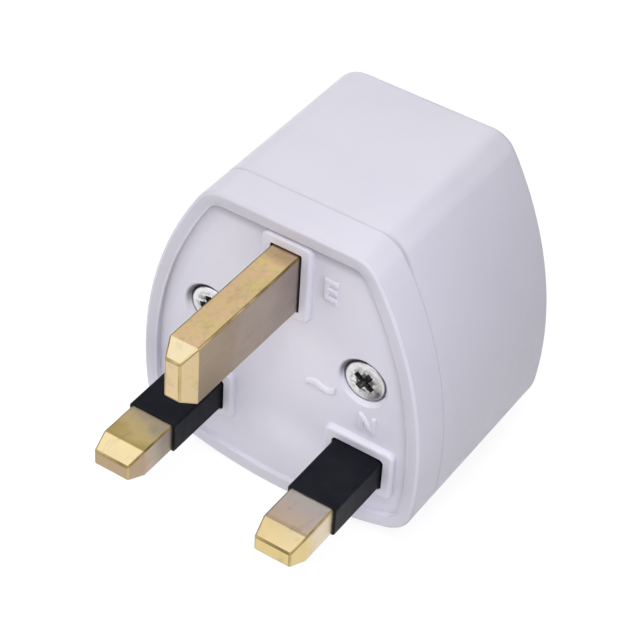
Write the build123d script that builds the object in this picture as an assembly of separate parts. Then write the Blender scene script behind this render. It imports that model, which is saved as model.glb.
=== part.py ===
from build123d import *
import os

# Travel plug adapter: a multi-standard socket behind, a three-pin rectangular-blade plug in front.
# Millimetres. +Z is up (the earth blade is the upper one) and the blades point along -Y.
# The origin lies on the plug face, midway between the live and neutral blades.

# Plug pins: places and sizes
line_spacing = 22.225
earth_rise = 22.225
line_pin_width = 5.8
line_pin_height = 3.85
line_pin_length = 17.0
line_tip_length = 2.5
line_tip_width = 4.8
line_tip_height = 2.1
earth_pin_width = 3.8
earth_pin_height = 7.85
earth_pin_length = 20.7
earth_tip_length = 2.1
earth_tip_width = 2.0
earth_tip_height = 5.3
pin_edge_bevel = 0.2

# Insulating sleeves on the line pins
sleeve_length = 9.2
sleeve_width = 6.5
sleeve_height = 4.25
sleeve_wall = 0.55
sleeve_edge_radius = 0.35

# Pin flanges and riveted tails, behind the pin plate
line_flange_width = 8.8
line_flange_height = 6.4
earth_flange_width = 6.4
earth_flange_height = 9.4
flange_thickness = 1.6
rivet_diameter = 3.0
rivet_head_diameter = 4.6
rivet_head_height = 1.0
rivet_head_chamfer = 0.5

# Body section, seen from the front
body_half_width = 19.25
body_top = 29.7
body_bottom = -10.4
widest_height = 1.9
side_radius = 49.5
belly_radius = 50.0
top_corner_radius = 3.9
bottom_corner_radius = 4.5
least_corner_radius = 0.3

# Body lengths along Y, and walls
body_depth = 29.8
parting_depth = 5.4
parting_chamfer = 0.2
wall = 1.6
socket_face_thickness = 2.6
front_edge_radius = 0.4
rear_edge_radius = 1.1

# Front cover
rim_width = 1.75
rim_inner_chamfer = 0.25
recess_depth = 0.8
plate_thickness = 2.6
flange_pocket_depth = 0.6
lip_thickness = 0.8
lip_length = 2.6
boss_wall = 1.25
boss_corner_radius = 0.9
boss_edge_chamfer = 0.5

# Case screws and their seats
screw_offset = 10.6
screw_height = 11.7
screw_head_diameter = 5.2
screw_head_height = 1.3
screw_head_depth = 1.15
screw_pan_width = 0.5
screw_pan_height = 0.25
screw_diameter = 2.9
screw_length = 12.0
screw_point_length = 1.6
screw_point_diameter = 0.6
cross_width = 0.95
cross_span = 3.4
cross_depth = 0.9
cross_turn = 34.0
screw_seat_chamfer = 0.5
post_wall = 1.7
post_spare_depth = 1.5

# Socket contacts: folded strips, wide enough for every blade that the socket takes
strip_thickness = 0.6
strip_bend_radius = 1.0
line_contact_inner = 4.2
line_contact_outer = 14.4
line_contact_height = 8.6
earth_contact_low = 9.0
earth_contact_high = 26.2
earth_contact_width = 7.4
contact_straight_length = 3.4
contact_waist_gap = 3.0
contact_mouth_gap = 6.8
contact_flare_length = 5.6
ear_length = 0.7
ear_half_width = 3.0
rib_thickness = 0.7

# Socket apertures in the rear face
slot_clearance = 0.3
slot_edge_chamfer = 0.35
wide_blade_width = 6.35
wide_blade_height = 4.0
narrow_blade_spacing = 12.7
narrow_blade_width = 1.7
narrow_blade_height = 6.6
slanted_blade_spacing = 13.7
slanted_blade_angle = 30.0
round_earth_rise = 11.9
round_earth_diameter = 4.9
wide_earth_width = 4.0
wide_earth_height = 8.0

# Clearances
pin_clearance = 0.2
sleeve_clearance = 0.25
flange_clearance = 0.15
lip_clearance = 0.1
head_clearance = 0.25
shank_clearance = 0.25
thread_clearance = 0.05
strip_clearance = 0.2
rivet_clearance = 0.05
mouth_clearance = 2.0

# Places worked out from the sizes above
line_x = line_spacing / 2
line_hole_width = sleeve_width + 2 * sleeve_clearance
line_hole_height = sleeve_height + 2 * sleeve_clearance
earth_hole_width = earth_pin_width + 2 * pin_clearance
earth_hole_height = earth_pin_height + 2 * pin_clearance
neck_width = sleeve_width - 2 * sleeve_wall
neck_height = sleeve_height - 2 * sleeve_wall
plate_back = recess_depth + plate_thickness
flange_front = plate_back - flange_pocket_depth
flange_back = flange_front + flange_thickness
strip_back = flange_back + strip_thickness
skirt_wall = wall + lip_clearance + lip_thickness
socket_face_inside = body_depth - socket_face_thickness
contact_mouth_depth = socket_face_inside - mouth_clearance
contact_waist_depth = contact_mouth_depth - contact_flare_length
screw_seat = screw_head_depth + screw_head_height
screw_tip = screw_seat + screw_length
counterbore_diameter = screw_head_diameter + 2 * head_clearance
pilot_diameter = screw_diameter + 2 * thread_clearance
overcut = 1.0
hair = 0.001


def slab(section, start, end):
    """Extrude a section that lies in the plug face from Y = start to Y = end."""
    return Pos(0, start, 0) * extrude(section, amount=end - start, dir=(0, 1, 0))


def place(x, z, section):
    """Put a section that is drawn flat at (x, z) of the plug face."""
    return Plane.XZ * Pos(x, z) * section


def round_bar(x, z, diameter, start, end):
    """A round bar or bore along Y."""
    return slab(place(x, z, Circle(diameter / 2)), start, end)


def edges_at(part, y):
    """Edges that lie flat at one Y."""
    return part.edges().filter_by_position(Axis.Y, y - hair, y + hair)


def face_at(part, y):
    """The face that lies flat at one Y."""
    return part.faces().filter_by_position(Axis.Y, y - hair, y + hair)[0]


def body_section(inset=0.0):
    """The body's outline, moved in by the inset: flat top, bowed sides and belly, round corners."""
    bow_centre = body_half_width - side_radius
    # This circle is turned half round so that its seam stays off the outline
    bow_right = Pos(bow_centre, widest_height) * Rot(0, 0, 180) * Circle(side_radius - inset)
    bow_left = Pos(-bow_centre, widest_height) * Circle(side_radius - inset)
    belly = Pos(0, body_bottom + belly_radius) * Circle(belly_radius - inset)
    span = 4 * body_half_width
    below_top = Pos(0, body_top - inset - span / 2) * Rectangle(span, span)
    section = bow_right & bow_left & belly & below_top
    top_corners = section.vertices().sort_by(Axis.Y)[-2:]
    section = fillet(top_corners, max(top_corner_radius - inset, least_corner_radius))
    bottom_corners = section.vertices().sort_by(Axis.Y)[:2]
    section = fillet(bottom_corners, max(bottom_corner_radius - inset, least_corner_radius))
    return Plane.XZ * section


def bevelled(width, height):
    """A pin's section: a rectangle with small bevels along its edges."""
    return chamfer(Rectangle(width, height).vertices(), pin_edge_bevel)


def line_hole():
    """Opening in the pin plate that a sleeved line pin passes through."""
    return RectangleRounded(line_hole_width, line_hole_height, sleeve_edge_radius + sleeve_clearance)


def earth_hole():
    """Opening in the pin plate that the earth pin passes through."""
    return bevelled(earth_hole_width, earth_hole_height)


def pin_boss(x, z, width, height):
    """Raised frame round a pin opening, level with the rim."""
    outline = RectangleRounded(width + 2 * boss_wall, height + 2 * boss_wall, boss_corner_radius)
    boss = slab(place(x, z, outline), 0, recess_depth + overcut)
    return chamfer(edges_at(boss, 0), boss_edge_chamfer)


def screw_seat_bore(x):
    """Counterbore for a screw's head, with a chamfered mouth in the recess floor."""
    bore = round_bar(x, screw_height, counterbore_diameter, 0, screw_seat)
    mouth_diameter = counterbore_diameter + 2 * screw_seat_chamfer
    mouth_end = recess_depth + screw_seat_chamfer
    mouth = round_bar(x, screw_height, mouth_diameter, 0, mouth_end)
    return bore + chamfer(edges_at(mouth, mouth_end), screw_seat_chamfer)


def front_cover():
    """Pin plate with its rim, recess, pin frames, screw seats and the lip that enters the housing."""
    cover = slab(body_section(), 0, parting_depth)
    cover = fillet(edges_at(cover, 0), front_edge_radius)
    cover = chamfer(edges_at(cover, parting_depth), parting_chamfer)
    cover += slab(body_section(wall + lip_clearance), plate_back, parting_depth + lip_length)
    cover -= slab(body_section(skirt_wall), plate_back, parting_depth + lip_length + overcut)
    cover -= slab(body_section(rim_width), -overcut, recess_depth)
    cover = chamfer(face_at(cover, 0).inner_wires()[0].edges(), rim_inner_chamfer)
    flange_gap = 2 * flange_clearance
    line_pocket = Rectangle(line_flange_width + flange_gap, line_flange_height + flange_gap)
    earth_pocket = Rectangle(earth_flange_width + flange_gap, earth_flange_height + flange_gap)
    cover += pin_boss(0, earth_rise, earth_hole_width, earth_hole_height)
    cover -= slab(place(0, earth_rise, earth_hole()), -overcut, plate_back)
    cover -= slab(place(0, earth_rise, earth_pocket), flange_front, plate_back)
    for side in (-1, 1):
        cover += pin_boss(side * line_x, 0, line_hole_width, line_hole_height)
        cover -= slab(place(side * line_x, 0, line_hole()), -overcut, plate_back)
        cover -= slab(place(side * line_x, 0, line_pocket), flange_front, plate_back)
        screw_x = side * screw_offset
        hole_diameter = screw_diameter + 2 * shank_clearance
        cover -= screw_seat_bore(screw_x)
        cover -= round_bar(screw_x, screw_height, hole_diameter, -overcut, plate_back)
    return cover


def line_aperture(side):
    """Socket opening for one line blade of every kind: wide, narrow upright and narrow slanted."""
    gap = 2 * slot_clearance
    narrow = Rectangle(narrow_blade_width + gap, narrow_blade_height + gap)
    wide = Rectangle(wide_blade_width + gap, wide_blade_height + gap)
    upright = Pos(side * narrow_blade_spacing / 2, 0) * narrow
    slant = Rot(0, 0, -side * slanted_blade_angle)
    slanted = Pos(side * slanted_blade_spacing / 2, 0) * slant * narrow
    fan = make_hull((upright + slanted).edges())
    return Plane.XZ * (fan + Pos(side * line_x, 0) * wide)


def earth_aperture():
    """Socket opening for every kind of earth pin: wide blade above, round pin below, a slot between."""
    gap = 2 * slot_clearance
    opening = Pos(0, earth_rise) * Rectangle(wide_earth_width + gap, wide_earth_height + gap)
    opening += Pos(0, round_earth_rise) * Circle((round_earth_diameter + gap) / 2)
    link = Rectangle(narrow_blade_width + gap, earth_rise - round_earth_rise)
    opening += Pos(0, (earth_rise + round_earth_rise) / 2) * link
    return Plane.XZ * opening


def contact_ribs():
    """Upright ribs behind the socket face: they press the contacts' ears on to the pin flanges."""
    rib_start = strip_clearance + rib_thickness / 2
    rib = Rectangle(rib_thickness, 2 * ear_half_width)
    places = []
    for side in (-1, 1):
        for x in (line_contact_inner - rib_start, line_contact_outer + rib_start):
            places.append(Pos(side * x, 0))
    for z in (earth_contact_low - rib_start, earth_contact_high + rib_start):
        places.append(Pos(0, z) * Rot(0, 0, 90))
    return [slab(Plane.XZ * spot * rib, strip_back, body_depth - overcut) for spot in places]


def rear_housing():
    """Shell behind the parting line, with the socket face, screw posts and contact ribs."""
    housing = slab(body_section(), parting_depth, body_depth)
    housing = fillet(edges_at(housing, body_depth), rear_edge_radius)
    housing = chamfer(edges_at(housing, parting_depth), parting_chamfer)
    housing -= slab(body_section(wall), parting_depth - overcut, socket_face_inside)
    for opening in (line_aperture(-1), line_aperture(1), earth_aperture()):
        housing -= slab(opening, parting_depth, body_depth + overcut)
    slot_edges = [edge for loop in face_at(housing, body_depth).inner_wires() for edge in loop.edges()]
    housing = chamfer(slot_edges, slot_edge_chamfer)
    for rib in contact_ribs():
        housing += rib
    for side in (-1, 1):
        x = side * screw_offset
        post_diameter = pilot_diameter + 2 * post_wall
        housing += round_bar(x, screw_height, post_diameter, plate_back, body_depth - overcut)
        housing -= round_bar(x, screw_height, pilot_diameter, plate_back, screw_tip + post_spare_depth)
    return housing


def blade(x, z, size, tip_size, length, tip_length, back):
    """A pin's blade with a tip that narrows on all four sides, from Y = -length to Y = back."""
    tip_start = tip_length - length
    section = place(x, z, bevelled(*size))
    end = place(x, z, bevelled(*tip_size))
    tip = loft([Pos(0, -length, 0) * end, Pos(0, tip_start, 0) * section], ruled=True)
    return tip + slab(section, tip_start, back)


def pin_tail(x, z, flange_width, flange_height):
    """Flange behind the pin plate, with the tail that is riveted over the contact strip."""
    tail = slab(place(x, z, Rectangle(flange_width, flange_height)), flange_front, flange_back)
    tail += round_bar(x, z, rivet_diameter, flange_back, strip_back)
    head_back = strip_back + rivet_head_height
    head = round_bar(x, z, rivet_head_diameter, strip_back, head_back)
    return tail + chamfer(edges_at(head, head_back), rivet_head_chamfer)


def earth_pin():
    """Bare earth blade, its flange and its riveted tail."""
    size = (earth_pin_width, earth_pin_height)
    tip_size = (earth_tip_width, earth_tip_height)
    pin = blade(0, earth_rise, size, tip_size, earth_pin_length, earth_tip_length, flange_front)
    return pin + pin_tail(0, earth_rise, earth_flange_width, earth_flange_height)


def neck():
    """Section of a line pin under its sleeve, which is also the sleeve's bore."""
    return bevelled(neck_width, neck_height)


def line_pin(side):
    """Live or neutral blade, necked under its sleeve, with its flange and riveted tail."""
    x = side * line_x
    size = (line_pin_width, line_pin_height)
    tip_size = (line_tip_width, line_tip_height)
    pin = blade(x, 0, size, tip_size, line_pin_length, line_tip_length, -sleeve_length)
    pin += slab(place(x, 0, neck()), -sleeve_length, flange_front)
    return pin + pin_tail(x, 0, line_flange_width, line_flange_height)


def pin_sleeve(side):
    """Insulating sleeve, from the flange's seat to the bare end of a line pin."""
    outline = RectangleRounded(sleeve_width, sleeve_height, sleeve_edge_radius)
    return slab(place(side * line_x, 0, outline - neck()), -sleeve_length, flange_front)


def folded_strip(start, end, height, rivet_at):
    """A contact: a base riveted to the pin, with two leaves that pinch in and flare at the mouth."""
    half = strip_thickness / 2
    base_y = flange_back + half
    leaf_z = height / 2 - half
    waist_z = contact_waist_gap / 2 + half
    mouth_z = contact_mouth_gap / 2 + half
    upper = [
        (contact_mouth_depth, mouth_z),
        (contact_waist_depth, waist_z),
        (strip_back + contact_straight_length, leaf_z),
        (base_y, leaf_z),
    ]
    lower = [(y, -z) for y, z in reversed(upper)]
    profile = trace(FilletPolyline(*upper, *lower, radius=strip_bend_radius), strip_thickness)
    strip = Plane.YZ * Pos(0, 0, start) * extrude(profile, amount=end - start, dir=(0, 0, 1))
    base_length = end - start + 2 * ear_length
    base = Rectangle(base_length, 2 * ear_half_width)
    strip += slab(place((start + end) / 2, 0, base), flange_back, strip_back)
    hole_diameter = rivet_diameter + 2 * rivet_clearance
    return strip - round_bar(rivet_at, 0, hole_diameter, flange_back - overcut, strip_back + overcut)


def line_contact(side):
    """Contact behind the live or neutral pin, with one leaf above the blades and one below."""
    start, end = sorted((side * line_contact_inner, side * line_contact_outer))
    return folded_strip(start, end, line_contact_height, side * line_x)


def earth_contact():
    """Contact behind the earth pin, turned so that its leaves stand each side of the blades."""
    strip = folded_strip(earth_contact_low, earth_contact_high, earth_contact_width, earth_rise)
    return Rot(0, -90, 0) * strip


def cross_recess():
    """Cross that a screwdriver drives."""
    bar = Rectangle(cross_span, cross_width)
    cross = bar + Rot(0, 0, 90) * bar
    return extrude(cross, amount=cross_depth)


def case_screw(side):
    """Pan-head screw, driven from the plug face into a post of the housing: one turned profile."""
    head_radius = screw_head_diameter / 2
    shank_radius = screw_diameter / 2
    profile = Polyline(
        (0, screw_head_depth),
        (head_radius - screw_pan_width, screw_head_depth),
        (head_radius, screw_head_depth + screw_pan_height),
        (head_radius, screw_seat),
        (shank_radius, screw_seat),
        (shank_radius, screw_tip - screw_point_length),
        (screw_point_diameter / 2, screw_tip),
        (0, screw_tip),
        close=True,
    )
    screw = revolve(make_face(profile), Axis.Y)
    mouth = Plane((0, screw_head_depth, 0), x_dir=(1, 0, 0), z_dir=(0, 1, 0))
    screw -= mouth * Rot(0, 0, side * cross_turn) * cross_recess()
    return Pos(side * screw_offset, 0, screw_height) * screw


nodes = {
    "front_cover": front_cover(),
    "rear_housing": rear_housing(),
    "earth_pin": earth_pin(),
    "live_pin": line_pin(-1),
    "neutral_pin": line_pin(1),
    "live_pin_sleeve": pin_sleeve(-1),
    "neutral_pin_sleeve": pin_sleeve(1),
    "earth_contact": earth_contact(),
    "live_contact": line_contact(-1),
    "neutral_contact": line_contact(1),
    "case_screws": Compound(children=[case_screw(-1), case_screw(1)]),
}

os.makedirs("parts", exist_ok=True)
for name, shape in nodes.items():
    export_step(shape, f"parts/{name}.step")
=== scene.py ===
import math

import bpy
from mathutils import Matrix, Vector
from mathutils.geometry import intersect_sphere_sphere_2d


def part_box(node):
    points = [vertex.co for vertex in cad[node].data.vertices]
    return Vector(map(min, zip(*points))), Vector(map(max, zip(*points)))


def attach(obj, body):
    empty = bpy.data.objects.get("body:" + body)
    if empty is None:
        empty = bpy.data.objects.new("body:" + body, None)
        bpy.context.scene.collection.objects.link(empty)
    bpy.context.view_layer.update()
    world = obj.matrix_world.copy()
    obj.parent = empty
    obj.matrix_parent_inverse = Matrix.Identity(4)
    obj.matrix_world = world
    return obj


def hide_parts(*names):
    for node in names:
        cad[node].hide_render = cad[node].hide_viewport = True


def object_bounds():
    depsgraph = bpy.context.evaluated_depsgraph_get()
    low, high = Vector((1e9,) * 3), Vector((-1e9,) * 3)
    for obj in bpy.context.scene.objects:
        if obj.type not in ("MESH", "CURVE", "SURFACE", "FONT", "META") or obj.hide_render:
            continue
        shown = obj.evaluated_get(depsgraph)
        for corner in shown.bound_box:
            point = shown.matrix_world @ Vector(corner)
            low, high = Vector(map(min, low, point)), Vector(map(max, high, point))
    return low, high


# Travel plug adapter. Pieces are modelled in millimetres, and brought to metres when finished.
# +Z is up, the pins point along -Y, and the plug face lies at Y = 0.

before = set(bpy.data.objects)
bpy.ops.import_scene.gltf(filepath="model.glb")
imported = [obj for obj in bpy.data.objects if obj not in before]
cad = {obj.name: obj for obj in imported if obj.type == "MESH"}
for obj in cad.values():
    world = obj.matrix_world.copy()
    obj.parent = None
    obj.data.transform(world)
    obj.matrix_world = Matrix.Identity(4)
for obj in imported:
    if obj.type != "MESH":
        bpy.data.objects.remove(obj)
cad_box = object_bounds()

# A millimetre in metres. Other lengths are in millimetres, unless a comment says metres
mm = 0.001
hair = 0.001
overcut = 1.0
smooth_angle = math.radians(40)

# Sizes read from the solids
cover_low, cover_high = (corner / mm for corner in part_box("front_cover"))
screws_low, screws_high = (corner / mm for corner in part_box("case_screws"))
sleeve_low, sleeve_high = (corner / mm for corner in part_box("neutral_pin_sleeve"))
plate_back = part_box("rear_housing")[0].y / mm
body_half_width = cover_high.x
body_top = cover_high.z
body_bottom = cover_low.z
lip_end = cover_high.y
line_x = (sleeve_low.x + sleeve_high.x) / 2

# Body section, seen from the front
widest_height = 1.9
side_radius = 49.5
belly_radius = 50.0
top_corner = 3.9
bottom_corner = 4.5
corner_steps = 10
side_steps = 24
belly_steps = 12

# Cover
parting_depth = 5.4
parting_chamfer = 0.2
front_round = 0.4
rim_width = 1.75
rim_inner_round = 0.25
rim_inner_drop = 0.45 * rim_inner_round
recess_depth = 0.8
lip_inset = 1.7
lip_thickness = 0.8

# Pins: sizes across, and where their tips start to narrow
line_pin_size = (5.8, 3.85)
line_tip_size = (4.8, 2.1)
line_tip_start = -14.5
line_neck_size = (5.4, 3.15)
line_flange_size = (8.8, 6.4)
earth_pin_size = (3.8, 7.85)
earth_tip_size = (2.0, 5.3)
earth_tip_start = -18.6
earth_flange_size = (6.4, 9.4)
pin_edge = 0.22
flange_thickness = 1.6
rivet_radius = 1.5
rivet_head_radius = 2.3
rivet_head_height = 1.0
rivet_head_chamfer = 0.5
rivet_sides = 32

# Pin openings and the raised frames round them
earth_rise = 22.225
earth_hole = (4.2, 8.25)
earth_hole_corner = 0.25
earth_pocket = (6.7, 9.7)
sleeve_gap = 0.25
line_hole = (
    sleeve_high.x - sleeve_low.x + 2 * sleeve_gap, sleeve_high.z - sleeve_low.z + 2 * sleeve_gap)
line_hole_corner = 0.6
line_pocket = (9.1, 6.7)
pocket_depth = 0.6
flange_front = plate_back - pocket_depth
flange_middle = flange_front + flange_thickness / 2
frame_wall = 1.25
frame_corner = 0.9
frame_round = 0.5

# Screws and their seats. Each step of the dome goes so far in and so far up; turns are in degrees
head_radius = 2.6
head_front = screws_low.y
head_height = 1.3
head_round = 0.25
dome_steps = ((0.7, 0.04), (0.7, 0.03))
screw_x = screws_high.x - head_radius
screw_z = (screws_low.z + screws_high.z) / 2
screw_seat = head_front + head_height
screw_tip = screws_high.y
shank_radius = 1.45
point_length = 1.6
point_radius = 0.3
cross_span = 3.8
cross_width = 1.1
cross_depth = 0.9
cross_taper = 0.45
cross_turns = {"screw_live_side": 79.0, "screw_neutral_side": 34.0}
seat_radius = 2.85
seat_flare = 0.5
shank_hole_radius = 1.7

# Terminal signs raised on the recess floor: the sign, its X and Z, and the height of its letters
signs = {
    "sign_earth": ("E", 5.6, 22.65, 2.9),
    "sign_neutral": ("N", 11.65, 5.95, 2.3),
    "sign_live": ("L", -11.65, 5.95, 2.3),
    "sign_mains": ("~", 5.2, 8.55, 5.0),
}
sign_relief = 0.3
sign_crest = -0.1
sign_round_steps = 3
letter_height_share = 0.73

# Camera, as the photograph was taken: turns in degrees, places and distances in metres
view_azimuth = 31.05
view_elevation = 41.36
view_roll = 4.04
view_distance = 0.2541
view_lens = 124.16
view_aim = Vector((0.765, 6.96, 11.554)) * mm
near_limit = 0.01

# Table and tent: how pale and how bright they are, and sizes in metres
table_width = 4.0
table_shade = 0.2
table_glow = 0.85
bounce_drop = 0.5 * mm
bounce_shade = 0.66
tent_colour = (0.87, 0.85, 1.0, 1.0)
tent_glow = 0.38

# Soft boxes: place and size in metres, watts, colour, and what each does to the object
cool_light = (0.955, 0.95, 1.0)
blue_light = (0.88, 0.87, 1.0)
warm_light = (1.0, 0.985, 0.93)
soft_boxes = {
    "tent_roof": ((-0.15, -0.1, 0.55), (1.2, 1.2), 3.9, warm_light, "shine"),
    "overhead": ((0.0, -0.06, 0.5), (0.3, 0.3), 1.06, warm_light, "shade"),
    "high_left": ((-0.35, -0.1, 0.25), (0.3, 0.3), 0.58, cool_light, "shade"),
    "over_camera": ((0.12, -0.2, 0.34), (0.2, 0.2), 0.475, cool_light, "shade and shine"),
    "front_left": ((-0.2, -0.35, 0.15), (0.3, 0.2), 0.28, cool_light, "shade and shine"),
    "edge_glint": ((0.22, 0.23, 0.14), (0.2, 0.2), 0.25, cool_light, "shine"),
    "close_right": ((0.06, -0.025, 0.055), (0.04, 0.04), 0.021, blue_light, "shade"),
    "low_front": ((-0.005, -0.04, -0.008), (0.09, 0.03), 0.0125, cool_light, "shade"),
    "back_fill": ((-0.2, 0.4, 0.2), (0.3, 0.3), 0.9, cool_light, "shade"),
}

# Roughness of the white plastic, in its rougher and its smoother patches
satin = (0.46, 0.34)
scuffed = (0.58, 0.48)
matt = (0.68, 0.58)

# Colours of the white plastic, of the dirt in its seam, and of the shade painted in its recess,
# gaps and seats
plastic_colours = ((0.67, 0.66, 0.735), (0.705, 0.695, 0.76))
seam_grime = (0.2, 0.19, 0.22)
# Painted shadow under the rim
rim_shadow_colour = (0.26, 0.25, 0.29)
# Painted shade in the screw seats
seat_shadow = (0.055, 0.052, 0.06)
gap_clean = ((0.3, (0.60, 0.59, 0.63)), (0.7, (0.68, 0.67, 0.71)))
# Painted shade deep in the gaps round the pins
gap_shadow = ((0.3, (0.010, 0.010, 0.011)), (0.7, (0.022, 0.021, 0.021)))
# Where the parting line is dirtiest
seam_dirt_place = (11.5, parting_depth, 28.3)

# Colours of the pins' brass; those in ramps come with their places from 0 to 1
gold_tops = ((0.32, (0.88, 0.63, 0.38)), (0.50, (0.87, 0.645, 0.33)), (0.68, (0.84, 0.68, 0.29)))
top_blotch = (0.70, 0.53, 0.36)
top_root_shadow = (0.45, 0.36, 0.25)
neutral_top = ((0.1, (0.76, 0.61, 0.455)), (0.9, (0.64, 0.60, 0.525)))
live_top = (
    (0.0, (0.43, 0.33, 0.10)), (0.35, (0.58, 0.46, 0.19)),
    (0.65, (0.50, 0.42, 0.24)), (1.0, (0.35, 0.315, 0.25)))
top_ridge_reflection = (0.43, 0.32, 0.12)
side_tarnish_and_reflection = (0.62, 0.53, 0.44)
side_dirt = (0.47, 0.40, 0.35)
earth_side = (
    (0.0, (0.38, 0.30, 0.205)), (0.3, (0.37, 0.295, 0.21)), (0.45, (0.47, 0.40, 0.335)),
    (0.65, (0.45, 0.385, 0.325)), (0.8, (0.36, 0.305, 0.27)), (1.0, (0.33, 0.285, 0.265)))
neutral_side = (0.69, 0.58, 0.42)
live_root_shade = (0.20, 0.165, 0.145)
rubbed_and_highlit_tips = ((0.35, (0.78, 0.67, 0.41)), (0.65, (0.86, 0.72, 0.38)))
earth_tip_gold = (0.69, 0.61, 0.42)
tip_flanks = ((0.35, (0.67, 0.52, 0.33)), (0.65, (0.69, 0.54, 0.30)))
live_flank = (0.37, 0.26, 0.18)
neutral_flank = (0.69, 0.545, 0.24)
brass_speck = (0.36, 0.28, 0.21)
dark_edge_tarnish_and_reflection = ((0.35, (0.22, 0.16, 0.06)), (0.65, (0.46, 0.35, 0.16)))
corner_highlight = (0.60, 0.46, 0.22)

# Colours of the other finishes, and the depth of their grain in metres
black_plastic = ((0.3, (0.006, 0.007, 0.010)), (0.7, (0.011, 0.012, 0.016)))
strip_brass = ((0.3, (0.68, 0.50, 0.26)), (0.7, (0.80, 0.61, 0.33)))
dull_nickel = ((0.3, (0.60, 0.595, 0.60)), (0.7, (0.80, 0.795, 0.80)))
nickel_dirt = (0.07, 0.068, 0.066)
# Residue and painted shade in the screws' crosses
cross_grime_and_shade = ((0.35, (0.012, 0.012, 0.012)), (0.75, (0.12, 0.115, 0.11)))
grain_depth = 0.02 * mm


# Materials

def add_node(tree, kind, inputs=None, **settings):
    """A shader node with its settings made and its named inputs set or linked."""
    made = tree.nodes.new("ShaderNode" + kind)
    for name, value in settings.items():
        setattr(made, name, value)
    for name, value in (inputs or {}).items():
        socket = made.inputs[name]
        if isinstance(value, bpy.types.NodeSocket):
            tree.links.new(value, socket)
        else:
            socket.default_value = value
    return made


def new_material(name):
    """A material with one shader, and the place on the piece that its patterns read."""
    material = bpy.data.materials.new(name)
    material.use_nodes = True
    tree = material.node_tree
    shader = tree.nodes["Principled BSDF"]
    place = add_node(tree, "TexCoord").outputs["Object"]
    return material, tree, shader, place


def cloud(tree, place, per_metre, detail=3.0, stretch=(1.0, 1.0, 1.0)):
    """Noise with so many lumps in a metre, drawn out along the axes by the stretch."""
    scaled = add_node(tree, "Mapping", {"Vector": place, "Scale": stretch})
    noise = add_node(tree, "TexNoise", {
        "Vector": scaled.outputs["Vector"], "Scale": per_metre, "Detail": detail})
    return noise.outputs["Fac"]


def between(tree, amount, low, high, start=0.3, end=0.7):
    """A number that goes from low to high as the amount goes from start to end."""
    made = add_node(tree, "MapRange", {
        "Value": amount, "From Min": start, "From Max": end, "To Min": low, "To Max": high})
    return made.outputs["Result"]


def tint(tree, amount, *stops):
    """A colour that runs through the stops, each a place from 0 to 1 and a colour."""
    ramp = add_node(tree, "ValToRGB", {"Fac": amount})
    points = ramp.color_ramp.elements
    while len(points) < len(stops):
        points.new(0.5)
    for point, (spot, colour) in zip(points, stops):
        point.position = spot
        point.color = (*colour, 1.0)
    return ramp.outputs["Color"]


def mixed(tree, share, first, second):
    """The first colour, with a share of the second."""
    made = add_node(tree, "Mix", {"Factor": share}, data_type="RGBA")
    for socket, colour in ((made.inputs[6], first), (made.inputs[7], second)):
        if isinstance(colour, bpy.types.NodeSocket):
            tree.links.new(colour, socket)
        else:
            socket.default_value = (*colour, 1.0)
    return made.outputs[2]


def surface(tree, shader, colour, roughness, metal=0.0):
    """Give the shader its colour, its roughness and its share of metal."""
    tree.links.new(colour, shader.inputs["Base Color"])
    tree.links.new(roughness, shader.inputs["Roughness"])
    shader.inputs["Metallic"].default_value = metal


def bump(tree, shader, height, depth, strength):
    """Small relief on the surface, depth metres deep."""
    made = add_node(tree, "Bump", {"Height": height, "Distance": depth, "Strength": strength})
    tree.links.new(made.outputs["Normal"], shader.inputs["Normal"])


def maths(tree, operation, *values):
    """The result of a sum on numbers or sockets."""
    return add_node(tree, "Math", dict(enumerate(values)), operation=operation).outputs[0]


def in_mm(tree, place):
    """The place on the piece, in millimetres."""
    made = add_node(tree, "VectorMath", {0: place, "Scale": 1 / mm}, operation="SCALE")
    return made.outputs["Vector"]


def parts(tree, vector):
    """The X, Y and Z of a vector."""
    return add_node(tree, "SeparateXYZ", {"Vector": vector}).outputs


def distance(tree, place, point):
    """How far a place is from a point."""
    made = add_node(tree, "VectorMath", {0: place, 1: point}, operation="DISTANCE")
    return made.outputs["Value"]


def facing(tree):
    """How much the surface faces along X, Y and Z, either way."""
    normal = add_node(tree, "NewGeometry").outputs["True Normal"]
    made = add_node(tree, "VectorMath", {0: normal}, operation="ABSOLUTE")
    return parts(tree, made.outputs["Vector"])


def rim_shadow(tree, here):
    """How much painted shadow lies on the recess floor: most along the top and the sides of the
    rim.
    """
    spot = parts(tree, here)
    below_top = maths(tree, "SUBTRACT", body_top - rim_width, spot["Z"])
    across = maths(tree, "ABSOLUTE", spot["X"])
    folded = add_node(tree, "CombineXYZ", {"X": across, "Z": spot["Z"]}).outputs["Vector"]
    bow_centre = (body_half_width - side_radius, 0.0, widest_height)
    reach = distance(tree, folded, bow_centre)
    from_side = maths(tree, "SUBTRACT", side_radius - rim_width, reach)
    top_shadow = between(tree, below_top, 0.44, 0.0, 0.9, 1.9)
    side_shadow = between(tree, from_side, 0.13, 0.0, 0.4, 1.6)
    upper = between(tree, spot["Z"], 0.0, 1.0, -2.0, 8.0)
    return maths(tree, "MULTIPLY", maths(tree, "MAXIMUM", top_shadow, side_shadow), upper)


def in_seam(tree, here):
    """How much dirt lies in the parting line, which is widest and darkest at one corner."""
    off_seam = maths(tree, "SUBTRACT", parts(tree, here)["Y"], parting_depth)
    from_corner = distance(tree, here, seam_dirt_place)
    width = between(tree, from_corner, 0.42, 0.26, 1.2, 3.5)
    most = between(tree, from_corner, 0.45, 0.28, 1.2, 3.5)
    return between(tree, maths(tree, "ABSOLUTE", off_seam), most, 0.0, 0.06, width)


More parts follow.
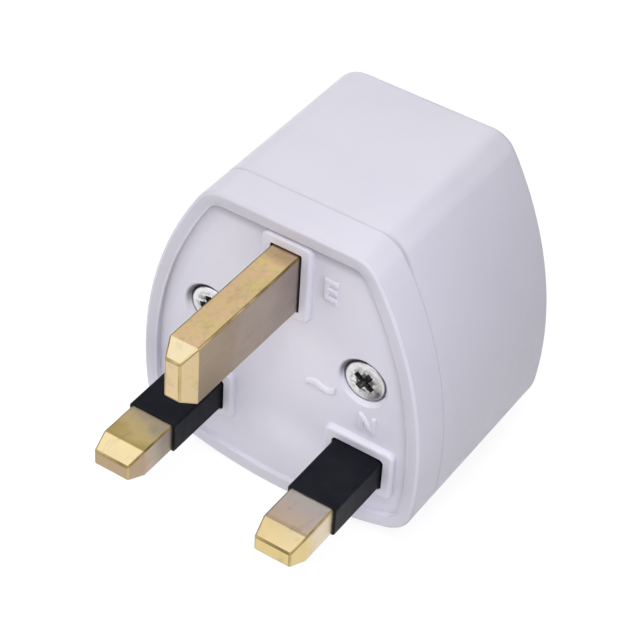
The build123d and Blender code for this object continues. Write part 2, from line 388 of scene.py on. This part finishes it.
def moulded_white(name, shade, gloss, dusty=False, painted_foot_light=None):
    """Moulded white plastic with a lavender cast and a satin grain; it may carry painted shadow
    under the rim, and painted light that leaves it paler at its foot.
    """
    material, tree, shader, place = new_material(name)
    low, high = (tuple(shade * part for part in colour) for colour in plastic_colours)
    colour = tint(tree, cloud(tree, place, 90.0), (0.25, low), (0.75, high))
    here = in_mm(tree, place)
    # Painted light: the colour turns paler towards the bottom of the piece
    if painted_foot_light:
        foot = tuple(painted_foot_light * part for part in plastic_colours[1])
        lower = between(tree, parts(tree, here)["Z"], 1.0, 0.0, -8.0, 1.0)
        colour = mixed(tree, lower, colour, foot)
    colour = mixed(tree, in_seam(tree, here), colour, seam_grime)
    # Painted shadow in the recess, under the top and the sides of the rim
    if dusty:
        colour = mixed(tree, rim_shadow(tree, here), colour, rim_shadow_colour)
    rough, smooth = gloss
    patches = cloud(tree, place, 700.0)
    surface(tree, shader, colour, between(tree, patches, smooth, rough))
    bump(tree, shader, cloud(tree, place, 5200.0, detail=2.0), grain_depth, 0.12)
    return material


def brass_top(tree, place, stain, pin):
    """Colour of the pins' upper and lower faces: gold, but olive on live and greyed on neutral."""
    colour = tint(tree, stain, *gold_tops)
    blotch = between(tree, cloud(tree, place, 1500.0), 0.0, 0.6, 0.48, 0.72)
    colour = mixed(tree, blotch, colour, top_blotch)
    # Painted shadow on the earth blade's top near its root, by the cover
    colour = mixed(tree, between(tree, pin["past"], 0.0, 0.5, 16.5, 18.6), colour, top_root_shadow)
    along = between(tree, pin["ragged"], 0.0, 1.0, 0.5, 5.0)
    colour = mixed(tree, pin["neutral"], colour, tint(tree, along, *neutral_top))
    colour = mixed(tree, pin["live"], colour, tint(tree, along, *live_top))
    # A dark line painted across the line blades' tops at the tip's ridge, as painted reflection
    ridge = maths(tree, "MULTIPLY", between(tree, pin["past"], 0.5, 0.0, 0.0, 0.7), pin["line"])
    return mixed(tree, ridge, colour, top_ridge_reflection)


def brass_side(tree, place, pin):
    """Colour of the pins' sides: tarnished and handled, and greyed as painted reflection."""
    dirty = between(tree, cloud(tree, place, 240.0, detail=4.0), 0.0, 0.6, 0.4, 0.65)
    colour = mixed(tree, dirty, side_tarnish_and_reflection, side_dirt)
    # The earth blade's sides run darker towards the root, as painted shade
    along = between(tree, pin["ragged"], 0.0, 1.0, 0.0, -earth_tip_start)
    colour = mixed(tree, pin["earth"], colour, tint(tree, along, *earth_side))
    colour = mixed(tree, pin["neutral"], colour, neutral_side)
    # Painted shade: the live blade's sides darken towards its sleeve
    shaded_root = maths(tree, "MULTIPLY", pin["live"], between(tree, pin["past"], 0.2, 1.0, 0.5, 3.4))
    return mixed(tree, shaded_root, colour, live_root_shade)


def brass_tip(tree, stain, pin, faces):
    """Colour of the pins' tips: paler above and below, rubbed bright and painted as highlight, and
    duller on their flanks.
    """
    gold = mixed(tree, pin["upper"], tint(tree, stain, *rubbed_and_highlit_tips), earth_tip_gold)
    flank = mixed(tree, pin["live"], tint(tree, stain, *tip_flanks), live_flank)
    flank = mixed(tree, pin["neutral"], flank, neutral_flank)
    # Faces that look up or down take the paler gold: wear, and painted highlight
    return mixed(tree, between(tree, faces["Z"], 0.0, 1.0, 0.1, 0.25), flank, gold)


def pin_brass():
    """Drawn brass, handled: mottled above, dull on the sides and rubbed bright on the tips, with
    painted reflection on the sides and painted highlight on the tips.
    """
    material, tree, shader, place = new_material("pin_brass")
    spot = parts(tree, in_mm(tree, place))
    faces = facing(tree)
    stain = cloud(tree, place, 260.0)
    off_middle = maths(tree, "ABSOLUTE", spot["X"])
    tip_start = between(tree, spot["Z"], line_tip_start, earth_tip_start, 8.0, 12.0)
    past = maths(tree, "SUBTRACT", spot["Y"], tip_start)
    # Which pin it is, and how far behind the start of its tip
    pin = {
        "earth": between(tree, off_middle, 0.85, 0.0, 3.0, 5.0),
        "line": between(tree, off_middle, 0.0, 1.0, 5.0, 7.5),
        "live": between(tree, spot["X"], 0.8, 0.0, -7.5, -5.0),
        "neutral": between(tree, spot["X"], 0.0, 1.0, 5.0, 7.5),
        "upper": between(tree, spot["Z"], 0.0, 0.8, 8.0, 12.0),
        "past": past,
        "ragged": maths(tree, "ADD", past, between(tree, stain, -1.5, 1.5)),
    }
    colour = brass_top(tree, place, stain, pin)
    # Sides take their own colour by which way they face: tarnish, and painted reflection that greys
    # them
    sideways = between(tree, faces["X"], 0.0, 0.9, 0.75, 0.98)
    colour = mixed(tree, sideways, colour, brass_side(tree, place, pin))
    # The tip's colour ends at its ridge, but fades out along the line pins' sides
    flanks = maths(tree, "MULTIPLY", between(tree, faces["X"], 0.0, 1.0, 0.6, 0.8), pin["line"])
    fade_end = between(tree, flanks, 0.1, 2.0, 0.0, 1.0)
    tip = between(tree, past, 0.9, 0.0, -0.1, fade_end)
    colour = mixed(tree, tip, colour, brass_tip(tree, stain, pin, faces))
    speck = cloud(tree, place, 900.0, detail=4.0, stretch=(1.0, 0.5, 1.0))
    colour = mixed(tree, between(tree, speck, 0.0, 0.35, 0.56, 0.74), colour, brass_speck)
    lines = cloud(tree, place, 2600.0, stretch=(1.0, 0.1, 1.0))
    surface(tree, shader, colour, between(tree, lines, 0.32, 0.46), metal=1.0)
    bump(tree, shader, lines, grain_depth, 0.06)
    return material


def edge_tarnish_and_reflection():
    """Brass along the pins' edges: dark with handling and as painted reflection, with a painted
    highlight where the end meets the sides.
    """
    material, tree, shader, place = new_material("edge_tarnish_and_reflection")
    wear = cloud(tree, place, 420.0)
    faces = facing(tree)
    # Painted highlight where the end meets the sides
    corner = between(tree, maths(tree, "MULTIPLY", faces["X"], faces["Y"]), 0.0, 0.7, 0.15, 0.35)
    colour = mixed(tree, corner, tint(tree, wear, *dark_edge_tarnish_and_reflection), corner_highlight)
    surface(tree, shader, colour, between(tree, wear, 0.42, 0.3), metal=1.0)
    return material


def sleeve_plastic():
    """Black satin insulating plastic."""
    material, tree, shader, place = new_material("sleeve_plastic")
    colour = tint(tree, cloud(tree, place, 400.0), *black_plastic)
    patches = cloud(tree, place, 1500.0)
    surface(tree, shader, colour, between(tree, patches, 0.42, 0.52))
    shader.inputs["Specular IOR Level"].default_value = 0.08
    bump(tree, shader, cloud(tree, place, 4200.0, detail=2.0), grain_depth, 0.15)
    return material


def contact_brass():
    """Clean spring brass strip."""
    material, tree, shader, place = new_material("contact_brass")
    colour = tint(tree, cloud(tree, place, 260.0), *strip_brass)
    grain = cloud(tree, place, 2400.0, detail=2.0, stretch=(1.0, 0.08, 1.0))
    surface(tree, shader, colour, between(tree, grain, 0.2, 0.32), metal=1.0)
    return material


def off_screw(tree, here):
    """How far a place lies from the axis of the nearer screw, along X and along Z."""
    spot = parts(tree, here)
    side = maths(tree, "SIGN", spot["X"])
    across = maths(tree, "MULTIPLY_ADD", side, -screw_x, spot["X"])
    return across, maths(tree, "SUBTRACT", spot["Z"], screw_z)


def screw_nickel():
    """Dull nickel plate, rubbed bright in places, with dirt round the cross."""
    material, tree, shader, place = new_material("screw_nickel")
    rub = cloud(tree, place, 1400.0, detail=4.0)
    across, upward = off_screw(tree, in_mm(tree, place))
    off_axis = add_node(tree, "CombineXYZ", {"X": across, "Z": upward}).outputs["Vector"]
    near = between(tree, distance(tree, off_axis, (0.0, 0.0, 0.0)), 0.95, 0.0, 1.1, 2.2)
    patchy = between(tree, cloud(tree, place, 1700.0, detail=4.0), 0.0, 1.0, 0.42, 0.54)
    dirt = maths(tree, "MULTIPLY", near, patchy)
    colour = mixed(tree, dirt, tint(tree, rub, *dull_nickel), nickel_dirt)
    surface(tree, shader, colour, between(tree, rub, 0.24, 0.4), metal=1.0)
    return material


def recess_grime():
    """Dark oil and plating residue at the bottom of a screw's cross, darkened further as painted
    shade.
    """
    material, tree, shader, place = new_material("recess_grime")
    dirt = cloud(tree, place, 2600.0)
    colour = tint(tree, dirt, *cross_grime_and_shade)
    surface(tree, shader, colour, between(tree, dirt, 0.6, 0.4), metal=0.6)
    return material


def gap_dust():
    """White plastic with painted shade that darkens it down the narrow gap round a pin."""
    material, tree, shader, place = new_material("gap_dust")
    depth = parts(tree, in_mm(tree, place))["Y"]
    dust = cloud(tree, place, 1800.0)
    clean, dark = (tint(tree, dust, *stops) for stops in (gap_clean, gap_shadow))
    # Painted shade: darker with depth into the gap
    colour = mixed(tree, between(tree, depth, 0.0, 1.0, 0.03, 0.25), clean, dark)
    surface(tree, shader, colour, between(tree, dust, 0.6, 0.8))
    return material


def seat_dust():
    """White plastic of a screw's seat, with painted shade on its upper side towards the live pin.
    """
    material, tree, shader, place = new_material("seat_dust")
    here = in_mm(tree, place)
    across, upward = off_screw(tree, here)
    # Painted shade on the seat, leaning to its upper side towards the live pin
    lean = between(tree, maths(tree, "SUBTRACT", upward, across), 0.0, 0.85, 1.6, 3.6)
    depth = parts(tree, here)["Y"]
    sunk = between(tree, depth, 0.0, 1.0, recess_depth + 0.05, recess_depth + 0.3)
    dust = cloud(tree, place, 1200.0)
    clean = tint(tree, dust, *zip((0.3, 0.7), plastic_colours))
    colour = mixed(tree, maths(tree, "MULTIPLY", lean, sunk), clean, seat_shadow)
    surface(tree, shader, colour, between(tree, dust, 0.5, 0.6))
    return material


def studio_floor(name, shade, glow):
    """Pale table, as in a light tent."""
    material, tree, shader, place = new_material(name)
    pale, paler = (shade,) * 3, (shade + 0.02,) * 3
    colour = tint(tree, cloud(tree, place, 6.0), (0.2, pale), (0.8, paler))
    tree.links.new(colour, shader.inputs["Base Color"])
    shader.inputs["Roughness"].default_value = 0.9
    shader.inputs["Emission Color"].default_value = (1.0, 1.0, 1.0, 1.0)
    shader.inputs["Emission Strength"].default_value = glow
    return material


# Modelling by hand

def leave_edit():
    """Back to object mode, with nothing selected."""
    if bpy.context.mode != "OBJECT":
        bpy.ops.object.mode_set(mode="OBJECT")
    bpy.ops.object.select_all(action="DESELECT")


def take(piece):
    """Make the piece the only selected one."""
    leave_edit()
    piece.select_set(True)
    bpy.context.view_layer.objects.active = piece


def choose(piece, kind, test):
    """In edit mode, select the piece's faces or edges whose corners pass the test."""
    take(piece)
    mesh = piece.data
    for group in (mesh.vertices, mesh.edges, mesh.polygons):
        group.foreach_set("select", [False] * len(group))
    bpy.context.tool_settings.mesh_select_mode = (False, kind == "edges", kind == "faces")
    for item in mesh.edges if kind == "edges" else mesh.polygons:
        item.select = test([mesh.vertices[i].co for i in item.vertices])
    bpy.ops.object.mode_set(mode="EDIT")


def flat_at(depth):
    """Test for faces and edges that lie flat at one depth from the plug face."""
    return lambda corners: all(abs(corner.y - depth) < hair for corner in corners)


def deepest_at(depth):
    """Test for faces whose furthest corners from the plug face lie at one depth."""
    return lambda corners: abs(max(corner.y for corner in corners) - depth) < hair


def no_deeper_than(depth):
    """Test for faces with no corner further from the plug face than one depth."""
    return lambda corners: all(corner.y < depth + hair for corner in corners)


def along_pins(corners):
    """Test for edges that run along the pins' direction."""
    return math.hypot(corners[0].x - corners[1].x, corners[0].z - corners[1].z) < hair


def push(depth):
    """Extrude what is selected along Y."""
    bpy.ops.mesh.extrude_region_move(TRANSFORM_OT_translate={"value": (0, depth, 0)})


def draw_in(width, rise=0.0):
    """Inset the selected face, and raise it by so much."""
    bpy.ops.mesh.inset(thickness=width, depth=rise)


def round_off(radius, steps, finish_place=-1):
    """Round the selected edges; the new faces can take a finish by its place in the list."""
    bpy.ops.mesh.bevel(offset=radius, segments=steps, affect="EDGES", material=finish_place)


def widen(x, z, share, share_z=None):
    """Scale the selected face in its own plane, about a line along Y."""
    bpy.ops.transform.resize(value=(share, 1, share_z or share), center_override=(x, 0, z))


def change_by(piece, tool, operation, material):
    """Join the tool to the piece or cut it away, so that the new faces take the material."""
    paint(tool, material)
    take(piece)
    step = piece.modifiers.new(operation.lower(), "BOOLEAN")
    step.operation = operation
    step.object = tool
    step.material_mode = "TRANSFER"
    bpy.ops.object.modifier_apply(modifier=step.name)
    bpy.data.objects.remove(tool)


def block(x, z, size, start, end, corner=0.0, steps=5):
    """A block along Y from start to end, with its long edges rounded where a corner is given."""
    leave_edit()
    width, height = size
    bpy.ops.mesh.primitive_cube_add(
        size=1, location=(x, (start + end) / 2, z), scale=(width, end - start, height))
    made = bpy.context.object
    bpy.ops.object.transform_apply()
    if corner:
        choose(made, "edges", along_pins)
        round_off(corner, steps)
    return made


def rod(x, z, radius, start, end, sides=64):
    """A round rod along Y from start to end."""
    leave_edit()
    bpy.ops.mesh.primitive_cylinder_add(
        vertices=sides, radius=radius, depth=end - start,
        location=(x, (start + end) / 2, z), rotation=(math.pi / 2, 0, 0))
    bpy.ops.object.transform_apply()
    return bpy.context.object


def paint(piece, material):
    """Give the whole piece one material."""
    piece.data.materials.clear()
    piece.data.materials.append(material)


def face_finish(piece, material, test):
    """Give a material to the faces whose corners pass the test."""
    piece.data.materials.append(material)
    choose(piece, "faces", test)
    piece.active_material_index = len(piece.data.materials) - 1
    bpy.ops.object.material_slot_assign()


def complete(piece, name, slot, *replaced):
    """Bring a modelled piece to metres, smooth it, and put it on the part."""
    take(piece)
    piece.name = piece.data.name = name
    piece.scale = (mm, mm, mm)
    bpy.ops.object.transform_apply()
    bpy.ops.object.shade_smooth_by_angle(angle=smooth_angle)
    even = piece.modifiers.new("even_faces", "WEIGHTED_NORMAL")
    even.keep_sharp = True
    bpy.ops.object.modifier_apply(modifier=even.name)
    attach(piece, "root")
    if replaced:
        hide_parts(*replaced)


# Pieces

def arc(centre, radius, start, end, steps):
    """Points on an arc, without its last one."""
    turns = [start + (end - start) * step / steps for step in range(steps)]
    return [
        (centre.x + radius * math.cos(turn), centre.y + radius * math.sin(turn))
        for turn in turns]


def body_outline():
    """The body's section from the front: flat top, bowed sides and belly, round corners."""
    bow = Vector((body_half_width - side_radius, widest_height))
    belly = Vector((0.0, body_bottom + belly_radius))
    rise = body_top - top_corner
    run = math.sqrt((side_radius - top_corner) ** 2 - (rise - bow.y) ** 2)
    top = Vector((bow.x + run, rise))
    meets = intersect_sphere_sphere_2d(
        bow, side_radius - bottom_corner, belly, belly_radius - bottom_corner)
    bottom = max(meets, key=lambda point: point.x)
    top_turn = math.atan2(top.y - bow.y, top.x - bow.x)
    side_turn = math.atan2(bottom.y - bow.y, bottom.x - bow.x)
    belly_turn = math.atan2(bottom.y - belly.y, bottom.x - belly.x)
    right = arc(top, top_corner, math.pi / 2, top_turn, corner_steps)
    right += arc(bow, side_radius, top_turn, side_turn, side_steps)
    right += arc(bottom, bottom_corner, side_turn, belly_turn, corner_steps)
    right += arc(belly, belly_radius, belly_turn, -math.pi / 2, belly_steps)
    left = [(-x, z) for x, z in reversed(right)]
    return right + [(0.0, body_bottom)] + left


def cover_shell():
    """The cover without its openings: outline, rounded rim, recess, hollow back and lip."""
    outline = body_outline()
    bpy.ops.mesh.primitive_circle_add(vertices=len(outline), fill_type="NGON")
    cover = bpy.context.object
    for vertex, (x, z) in zip(cover.data.vertices, outline):
        vertex.co = (x, parting_depth, z)
    choose(cover, "faces", flat_at(parting_depth))
    push(-parting_depth)
    bpy.ops.mesh.select_all(action="SELECT")
    bpy.ops.mesh.normals_make_consistent(inside=False)
    choose(cover, "edges", flat_at(parting_depth))
    round_off(parting_chamfer, steps=1)
    choose(cover, "faces", flat_at(parting_depth))
    draw_in(lip_inset - parting_chamfer)
    push(lip_end - parting_depth)
    draw_in(lip_thickness)
    push(plate_back - lip_end)
    choose(cover, "edges", flat_at(0.0))
    round_off(front_round, steps=4)
    choose(cover, "faces", flat_at(0.0))
    draw_in(rim_width - rim_inner_round - front_round)
    draw_in(rim_inner_round, -rim_inner_drop)
    push(recess_depth - rim_inner_drop)
    leave_edit()
    paint(cover, finish["white_plastic"])
    face_finish(cover, matt_edge, no_deeper_than(front_round))
    face_finish(cover, darker_rim, flat_at(0.0))
    face_finish(cover, recess_wall, deepest_at(recess_depth))
    face_finish(cover, dusty_recess, flat_at(recess_depth))
    return cover


def pin_frame(x, z, hole):
    """Raised frame with a soft edge round a pin's opening."""
    width, height = hole
    size = (width + 2 * frame_wall, height + 2 * frame_wall)
    made = block(x, z, size, 0.0, recess_depth + overcut, frame_corner, steps=6)
    choose(made, "edges", flat_at(0.0))
    round_off(frame_round, steps=5)
    return made


def seat_tool(x):
    """Cutter for a screw's counterbore; its flared mouth runs on past the recess floor."""
    mouth = recess_depth + seat_flare
    tool = rod(x, screw_z, seat_radius, mouth, screw_seat)
    choose(tool, "faces", flat_at(mouth))
    push(-2 * seat_flare)
    widen(x, screw_z, (seat_radius + 2 * seat_flare) / seat_radius)
    return tool


def front_cover():
    """Pin plate with its rim, recess, pin frames and screw seats."""
    white = finish["white_plastic"]
    cover = cover_shell()
    pins = (
        (0.0, earth_rise, earth_hole, earth_hole_corner, earth_pocket),
        (-line_x, 0.0, line_hole, line_hole_corner, line_pocket),
        (line_x, 0.0, line_hole, line_hole_corner, line_pocket))
    for x, z, hole, corner, pocket in pins:
        change_by(cover, pin_frame(x, z, hole), "UNION", white)
        opening = block(x, z, hole, -overcut, plate_back + overcut, corner)
        change_by(cover, opening, "DIFFERENCE", shaded_gap)
        back = block(x, z, pocket, flange_front, plate_back + overcut)
        change_by(cover, back, "DIFFERENCE", white)
    for x in (-screw_x, screw_x):
        change_by(cover, seat_tool(x), "DIFFERENCE", shaded_seat)
        hole = rod(x, screw_z, shank_hole_radius, 0.0, plate_back + overcut)
        change_by(cover, hole, "DIFFERENCE", white)
    complete(cover, "moulded_cover", "white_plastic", "front_cover")


def pin_blade(x, z, size, tip_size, end, tip_start, back):
    """A pin's blade along Y: rounded edges painted as tarnish, reflection and highlight, and a tip
    that narrows on all four sides.
    """
    blade = block(x, z, size, tip_start, back)
    paint(blade, finish["pin_brass"])
    blade.data.materials.append(tarnished_and_reflecting_edges)
    choose(blade, "faces", flat_at(tip_start))
    push(end - tip_start)
    widen(x, z, tip_size[0] / size[0], tip_size[1] / size[1])
    choose(blade, "edges", flat_at(tip_start))
    bpy.ops.mesh.mark_sharp()
    rings = (flat_at(tip_start), flat_at(back))
    choose(blade, "edges", lambda corners: not any(ring(corners) for ring in rings))
    round_off(pin_edge, steps=3, finish_place=1)
    return blade


def rivet_on(pin, x, z, flange_size, end):
    """Flange behind the pin plate, and the tail that is riveted over the contact strip."""
    brass = finish["pin_brass"]
    flange_back = flange_front + flange_thickness
    flange = block(x, z, flange_size, flange_front, flange_back, pin_edge, steps=2)
    change_by(pin, flange, "UNION", brass)
    shank = rod(x, z, rivet_radius, flange_middle, end - rivet_head_height / 2, rivet_sides)
    change_by(pin, shank, "UNION", brass)
    head = rod(x, z, rivet_head_radius, end - rivet_head_height, end, rivet_sides)
    choose(head, "edges", flat_at(end))
    round_off(rivet_head_chamfer, steps=3)
    change_by(pin, head, "UNION", brass)


def earth_pin():
    """Bare earth blade, its flange and its riveted tail."""
    low, high = (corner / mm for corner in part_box("earth_pin"))
    pin = pin_blade(
        0.0, earth_rise, earth_pin_size, earth_tip_size, low.y, earth_tip_start, flange_middle)
    rivet_on(pin, 0.0, earth_rise, earth_flange_size, high.y)
    complete(pin, "earth_blade", "pin_brass", "earth_pin")


def line_pin(x, node, name):
    """A line blade, narrower under its sleeve, with its flange and its riveted tail."""
    low, high = (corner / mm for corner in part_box(node))
    pin = pin_blade(x, 0.0, line_pin_size, line_tip_size, low.y, line_tip_start, sleeve_low.y)
    neck_front = sleeve_low.y - overcut
    neck = block(x, 0.0, line_neck_size, neck_front, flange_middle, pin_edge, steps=1)
    change_by(pin, neck, "UNION", finish["pin_brass"])
    rivet_on(pin, x, 0.0, line_flange_size, high.y)
    complete(pin, name, "pin_brass", node)


def cross_tool(x, first_turn):
    """Cutter for a screw's cross: two tapered bars."""
    centre = (x, head_front, screw_z)
    bars = []
    for turn in (first_turn, first_turn + 90.0):
        leave_edit()
        bpy.ops.mesh.primitive_cube_add(
            size=1, location=centre, rotation=(0, math.radians(turn), 0),
            scale=(cross_span, 2 * cross_depth, cross_width))
        bpy.ops.object.transform_apply()
        bars.append(bpy.context.object)
        choose(bars[-1], "faces", flat_at(head_front + cross_depth))
        widen(x, screw_z, cross_taper)
    leave_edit()
    paint(bars[0], grime)
    change_by(bars[0], bars[1], "UNION", grime)
    return bars[0]


def case_screw(x, name):
    """Pan-head screw with a domed head, a cross and a pointed shank."""
    screw = rod(x, screw_z, head_radius, head_front, screw_seat)
    choose(screw, "edges", flat_at(head_front))
    round_off(head_round, steps=5)
    choose(screw, "faces", flat_at(head_front))
    for width, rise in dome_steps:
        draw_in(width, rise)
    choose(screw, "faces", flat_at(screw_seat))
    draw_in(head_radius - shank_radius)
    push(screw_tip - point_length - screw_seat)
    push(point_length)
    widen(x, screw_z, point_radius / shank_radius)
    leave_edit()
    paint(screw, finish["screw_nickel"])
    change_by(screw, cross_tool(x, cross_turns[name]), "DIFFERENCE", grime)
    complete(screw, name, "screw_nickel")
    return screw


def case_screws():
    """The two screws that hold the halves together."""
    pair = [case_screw(-screw_x, "screw_live_side"), case_screw(screw_x, "screw_neutral_side")]
    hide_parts("case_screws")


def raised_sign(name, sign, x, z, height):
    """One raised terminal sign, its foot sunk in the recess floor."""
    leave_edit()
    bpy.ops.object.text_add(location=(x, recess_depth, z), rotation=(math.pi / 2, 0, 0))
    made = bpy.context.object
    made.data.body = sign
    made.data.align_x = "CENTER"
    made.data.align_y = "CENTER"
    made.data.size = height / letter_height_share
    made.data.offset = sign_crest
    made.data.bevel_depth = sign_relief
    made.data.bevel_resolution = sign_round_steps
    bpy.ops.object.convert(target="MESH")
    bpy.ops.object.transform_apply()
    paint(bpy.context.object, finish["white_plastic"])
    complete(bpy.context.object, name, "white_plastic")


# Floor, light and camera

def soft_box(name, place, size, watts, colour, effect):
    """A soft light, so wide and so high, that faces the object and does what its effect says."""
    light = bpy.data.lights.new(name, "AREA")
    light.shape = "RECTANGLE"
    light.size, light.size_y = size
    light.energy = watts
    light.color = colour
    box = bpy.data.objects.new(name, light)
    bpy.context.scene.collection.objects.link(box)
    box.location = place
    box.rotation_euler = (view_aim - Vector(place)).to_track_quat("-Z", "Y").to_euler()
    box.visible_camera = False
    box.visible_diffuse = "shade" in effect
    box.visible_glossy = "shine" in effect


def table(name, height, shade, glow):
    """A wide flat table that the object stands on."""
    leave_edit()
    bpy.ops.mesh.primitive_plane_add(size=table_width, location=(0.0, 0.0, height))
    made = bpy.context.object
    made.name = name
    made.data.materials.append(studio_floor(name, shade, glow))
    return made


def studio(floor_height):
    """A pale table in a light tent, which shows in reflections; soft boxes give the shading."""
    seen = table("studio_table", floor_height, table_shade, table_glow)
    seen.visible_diffuse = False
    seen.visible_shadow = False
    # The light that comes back from the table, which is less than the white that it shows
    bounce = table("table_bounce", floor_height - bounce_drop, bounce_shade, 0.0)
    bounce.visible_camera = False
    bounce.visible_glossy = False
    world = bpy.data.worlds.new("light_tent")
    bpy.context.scene.world = world
    world.use_nodes = True
    world.cycles_visibility.diffuse = False
    sky = world.node_tree.nodes["Background"]
    sky.inputs["Color"].default_value = tent_colour
    sky.inputs["Strength"].default_value = tent_glow
    for name, light in soft_boxes.items():
        soft_box(name, *light)


def set_camera():
    """The camera stands where the photograph was taken from."""
    azimuth, elevation, roll = map(math.radians, (view_azimuth, view_elevation, view_roll))
    level = math.cos(elevation)
    towards_eye = Vector((
        math.sin(azimuth) * level, -math.cos(azimuth) * level, math.sin(elevation)))
    lens = bpy.data.cameras.new("photo_camera")
    lens.lens = view_lens
    lens.clip_start = near_limit
    camera = bpy.data.objects.new("photo_camera", lens)
    bpy.context.scene.collection.objects.link(camera)
    turn = (-towards_eye).to_track_quat("-Z", "Y").to_matrix() @ Matrix.Rotation(roll, 3, "Z")
    camera.matrix_world = Matrix.LocRotScale(view_aim + towards_eye * view_distance, turn, None)
    bpy.context.scene.camera = camera


# Finishes

finish = {
    "white_plastic": moulded_white("white_plastic", 1.0, satin),
    "pin_brass": pin_brass(),
    "sleeve_plastic": sleeve_plastic(),
    "contact_brass": contact_brass(),
    "screw_nickel": screw_nickel(),
}
# The rim face is painted darker than the recess floor, and paler towards its bottom as painted
# light
darker_rim = moulded_white("darker_rim", 0.83, scuffed, painted_foot_light=0.93)
matt_edge = moulded_white("matt_edge", 0.93, matt)
# The recess floor and wall carry painted shadow under the rim
dusty_recess = moulded_white("dusty_recess", 1.0, satin, dusty=True)
# The recess wall is painted paler towards its bottom, as painted light
recess_wall = moulded_white("recess_wall", 1.0, satin, dusty=True, painted_foot_light=1.18)
tarnished_and_reflecting_edges = edge_tarnish_and_reflection()
grime = recess_grime()
shaded_gap = gap_dust()
shaded_seat = seat_dust()
finish_of_node = {
    "front_cover": "white_plastic",
    "rear_housing": "white_plastic",
    "earth_pin": "pin_brass",
    "live_pin": "pin_brass",
    "neutral_pin": "pin_brass",
    "live_pin_sleeve": "sleeve_plastic",
    "neutral_pin_sleeve": "sleeve_plastic",
    "earth_contact": "contact_brass",
    "live_contact": "contact_brass",
    "neutral_contact": "contact_brass",
    "case_screws": "screw_nickel",
}
for name, part in cad.items():
    for place in part.material_slots:
        place.material = finish[finish_of_node[name]]

# The part in its studio

leave_edit()
front_cover()
case_screws()
earth_pin()
line_pin(-line_x, "live_pin", "live_blade")
line_pin(line_x, "neutral_pin", "neutral_blade")
for name, sign in signs.items():
    raised_sign(name, *sign)
studio(cad_box[0].z)
set_camera()
bpy.context.scene.view_settings.view_transform = "Standard"
